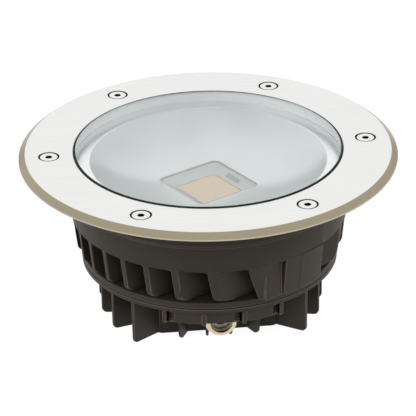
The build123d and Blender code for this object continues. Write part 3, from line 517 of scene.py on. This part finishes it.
# The pane and its flange are two closed shells, a hair apart, so that the ground side shows all the way down.
disc = bmesh.new()
spun(disc, [
    (0, glass_low.z), (pane_radius, glass_low.z), (pane_radius, side_top), (face_radius, glass_high.z),
    (green_radius, glass_high.z), (0, glass_high.z)])
# The chamfer and a thin strip of the top face inside it are painted dark green: painted shade along the edge.
for face in disc.faces:
    spot = face.calc_center_median()
    if hypot(spot.x, spot.y) > green_radius:
        face.material_index = GREEN_FINISH if spot.z > side_top else GROUND_FINISH
inner_radius = pane_radius + SHELL_GAP
spun(disc, [
    (inner_radius, glass_low.z), (flange_radius, glass_low.z), (flange_radius, flange_top),
    (inner_radius, flange_top), (inner_radius, glass_low.z)])
glass = finished(disc, "lens_glass", GLASS_CREASE)

dressed("lens_gasket", HAIR_EDGE, silicone)
fitted(glass, clear_glass, "lens_glass")
glass.data.materials.append(ground_glass)
glass.data.materials.append(green_glass_painted_shade)


# Trim ring: stainless plate, brushed in straight lines across its face. Its turned bevel and edge are
# painted duller and warmer, partly for the turned finish and partly as a painted reflection of dark
# surroundings. Six counterbored holes take the hexagon-socket screws that clamp the glass. The deep
# faces of holes and sockets are painted dark as painted shade.
RING_EDGE = 0.00025
RING_CREASE = radians(25)
BEVEL_WIDTH = 0.0046
SCREW_COUNT = 6
SCREW_CIRCLE = 0.1135
COUNTERBORE = 0.0076
SUNK_DEPTH = 0.0003
BRUSHED_DARK = (234, 234, 233)
BRUSHED_PALE = (250, 250, 249)
BEVEL_DARK = (180, 168, 144)
BEVEL_PALE = (196, 184, 160)
SUNK_PAINTED_SHADE = (44, 41, 37)
BRUSH_LINES = (14, 1500, 14)
TURNED_LINES = 1600
HAZE_CLOUDS = 16
RING_ROUGHNESS = 0.22
LINE_ROUGHNESS = 0.1
HAZE_ROUGHNESS = 0.06
LINE_DEPTH = 0.00002


def sunk_faces(piece):
    """Marks the faces that lie deep in a counterbore or in a screw's socket, which are painted dark as shade.
    """
    deep = max(corner.co.z for corner in piece.data.vertices) - SUNK_DEPTH
    turns = [radians(360 * screw / SCREW_COUNT) for screw in range(SCREW_COUNT)]
    mark = piece.data.attributes.new("sunk", "FLOAT", "FACE")
    for face in piece.data.polygons:
        x, y, z = face.center
        near = min(hypot(x - SCREW_CIRCLE * cos(turn), y - SCREW_CIRCLE * sin(turn)) for turn in turns)
        mark.data[face.index].value = near < COUNTERBORE and z < deep
    return piece


place = coordinates("brushed stainless steel")
across = place.radius()
on_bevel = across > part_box("trim_ring")[1].x - BEVEL_WIDTH
brushing = place.stretched(BRUSH_LINES).noise(1, detail=3)
turning = place.node("ShaderNodeTexNoise", {"noise_dimensions": "1D"}, {"W": across, "Scale": TURNED_LINES})
lines = brushing + on_bevel * (turning - brushing)
face_steel = lines.mix(tone(BRUSHED_DARK), tone(BRUSHED_PALE))
# The bevel colour is partly the turned finish and partly a painted reflection of dark surroundings.
bevel_steel_and_reflection = lines.mix(tone(BEVEL_DARK), tone(BEVEL_PALE))
# Faces deep in counterbores and sockets are painted dark: painted shade.
stainless = surface(
    place, Base_Color=place.attribute("sunk").mix(on_bevel.mix(face_steel, bevel_steel_and_reflection), tone(SUNK_PAINTED_SHADE)),
    Metallic=1.0,
    Roughness=RING_ROUGHNESS + lines * LINE_ROUGHNESS + place.noise(HAZE_CLOUDS) * HAZE_ROUGHNESS,
    Normal=lines.relief(LINE_DEPTH))

fitted(sunk_faces(rounded_copy("trim_ring", RING_EDGE, RING_CREASE)), stainless, "trim_ring")
fitted(sunk_faces(rounded_copy("trim_screws", RING_EDGE)), stainless, "trim_screws")


# Studio: a white floor and a white sweep behind the light, in a pale grey room, with a broad lamp on
# each side and one above. The camera stands above the gland, a little to its left.
FLOOR_SIZE = 12.0
FLOOR_DROP = 0.0003
FLOOR_GREY = (0.8, 0.78, 0.75, 1)
FLOOR_WHITE = 1.13
FLOOR_SHARE = 0.85
WHITE = (1, 1, 1, 1)
HORIZON = (0.4, 0.39, 0.38, 1)
ROOM = (0.72, 0.73, 0.73, 1)
ROOM_RISE = (0.0, 0.35)
SWEEP_RISE = (0.02, 0.36)
SWEEP_SIDES = (-0.4, 0.6)
SWEEP_NARROWING = 1.2
SKY_FILL = 0.17
LAMP_SIZE = 1.3
LAMPS = (
    ("left lamp", (-1.6, -0.3, 0.8), 20),
    ("right lamp", (1.6, -0.2, 0.8), 21),
    ("top lamp", (-0.2, -1.25, 1.55), 25),
)
CAMERA_AZIMUTH = radians(-6.091)
CAMERA_HEIGHT = radians(27.204)
CAMERA_ROLL = radians(-0.909)
CAMERA_DISTANCE = 1.70368
CAMERA_ASIDE = -0.00075
CAMERA_DROP = 0.04363
LENS = 207.04


def seen_by(place, ray):
    """1 for the rays of this kind, and 0 for others."""
    return place.node("ShaderNodeLightPath", output=f"Is {ray} Ray")


def seen_directly(place):
    """1 for what the camera sees, also in metal and through glass, and 0 for the light on other surfaces."""
    mirrored = seen_by(place, "Camera").math("MAXIMUM", seen_by(place, "Glossy"))
    return mirrored.math("MAXIMUM", seen_by(place, "Transmission"))


def rising(value, low, high):
    """A soft step from 0 to 1 between two values."""
    limits = {"Value": value, "From Min": low, "From Max": high}
    return value.node("ShaderNodeMapRange", {"interpolation_type": "SMOOTHSTEP"}, limits)


place = coordinates("white floor")
matt = place.node("ShaderNodeBsdfDiffuse", None, {"Color": FLOOR_GREY})
glow = place.node("ShaderNodeEmission", None, {"Strength": FLOOR_WHITE})
share = seen_directly(place) * FLOOR_SHARE
white_floor = shown(place.node("ShaderNodeMixShader", None, {0: share, 1: matt, 2: glow}))

floor_mesh = bmesh.new()
bmesh.ops.create_grid(floor_mesh, x_segments=1, y_segments=1, size=FLOOR_SIZE / 2)
bmesh.ops.translate(floor_mesh, verts=floor_mesh.verts, vec=(0, 0, -FLOOR_DROP))
floor = finished(floor_mesh, "floor")
floor.data.materials.append(white_floor)

world = bpy.data.worlds.new("studio")
bpy.context.scene.world = world
world.use_nodes = True
world.node_tree.nodes.clear()
sky = Socket(world.node_tree.nodes.new("ShaderNodeTexCoord").outputs["Generated"])
height = sky.part("Z")
room = rising(height, *ROOM_RISE).mix(HORIZON, ROOM)
behind = rising(sky.part("Y") - sky.part("X").math("ABSOLUTE") * SWEEP_NARROWING, *SWEEP_SIDES)
sweep = (behind * rising(height, *SWEEP_RISE)).mix(room, WHITE)
backdrop = sky.node("ShaderNodeBackground", None, {"Color": seen_by(sky, "Camera").mix(sweep, WHITE)})
fill = sky.node("ShaderNodeBackground", None, {"Color": WHITE, "Strength": SKY_FILL})
lit = sky.node("ShaderNodeMixShader", None, {0: seen_directly(sky), 1: fill, 2: backdrop})
sky_end = world.node_tree.nodes.new("ShaderNodeOutputWorld")
world.node_tree.links.new(lit.output, sky_end.inputs["Surface"])

top = Vector((0, 0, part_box("trim_ring")[1].z))
for name, spot, power in LAMPS:
    lamp = bpy.data.objects.new(name, bpy.data.lights.new(name, "AREA"))
    lamp.data.size = LAMP_SIZE
    lamp.data.energy = power
    lamp.visible_glossy = False
    lamp.location = spot
    lamp.rotation_mode = "QUATERNION"
    lamp.rotation_quaternion = (top - Vector(spot)).to_track_quat("-Z", "Y")
    bpy.context.scene.collection.objects.link(lamp)

right = Vector((cos(CAMERA_AZIMUTH), sin(CAMERA_AZIMUTH), 0))
back = Vector((
    sin(CAMERA_AZIMUTH) * cos(CAMERA_HEIGHT), -cos(CAMERA_AZIMUTH) * cos(CAMERA_HEIGHT), sin(CAMERA_HEIGHT)))
up = back.cross(right)
aim = top + right * CAMERA_ASIDE - up * CAMERA_DROP
facing = Matrix((right, up, back)).transposed() @ Matrix.Rotation(CAMERA_ROLL, 3, "Z")
camera = bpy.data.objects.new("camera", bpy.data.cameras.new("camera"))
camera.data.lens = LENS
camera.matrix_world = Matrix.Translation(aim + back * CAMERA_DISTANCE) @ facing.to_4x4()
bpy.context.scene.collection.objects.link(camera)
bpy.context.scene.camera = camera
bpy.context.scene.view_settings.view_transform = "Standard"
